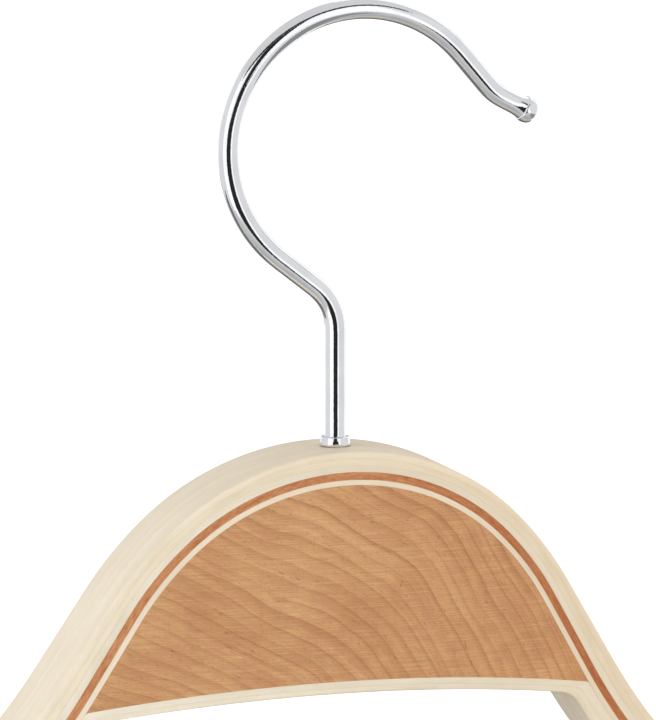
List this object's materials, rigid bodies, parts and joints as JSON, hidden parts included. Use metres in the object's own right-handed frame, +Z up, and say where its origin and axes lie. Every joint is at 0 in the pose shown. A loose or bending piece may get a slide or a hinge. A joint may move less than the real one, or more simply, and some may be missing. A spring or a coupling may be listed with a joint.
{
  "type": "clothes hanger",
  "caption": "Contoured wooden clothes hanger of bent laminated plies around a crescent core, turning freely under a chromed wire hook with a rounded tip.",
  "frame": {"origin": "inside top of the hook's loop on the stem's axis, where the hanger sits on its rail", "axes": "+X along the body from arm to arm, +Y towards the back, which the arms sweep to, +Z up along the stem"},
  "size_m": [0.44, 0.0697, 0.2522],
  "materials": {
    "maple_outer": "sanded maple under a thin satin lacquer",
    "cherry_accent": "cherry edge grain under a thin satin lacquer",
    "maple_inner": "pale maple under a thin satin lacquer",
    "cherry_core": "cherry with curved rings and fine saw lines, satin lacquer",
    "maple_lower": "sanded maple under a thin satin lacquer",
    "chrome_bush": "bright plating",
    "chrome_wire": "bright plating",
    "washer_nylon": "natural nylon",
    "clip_steel": "oiled spring steel"
  },
  "bodies": {
    "hook": {"hook_wire": "chrome_wire", "retaining_clip": "clip_steel"},
    "hanger_body": {"outer_ply_1": "maple_outer", "outer_ply_2": "maple_outer", "outer_ply_3": "maple_outer", "accent_ply": "cherry_accent", "inner_ply": "maple_inner", "core_block": "cherry_core", "lower_ply_1": "maple_lower", "lower_ply_2": "maple_lower", "swivel_bush": "chrome_bush", "thrust_washer": "washer_nylon"}
  },
  "joints": [
    {"name": "hook_swivel", "type": "hinge", "parent": "hook", "child": "hanger_body", "pos_m": [0, 0, -0.0849], "axis": [0, 0, 1], "continuous": true}
  ]
}
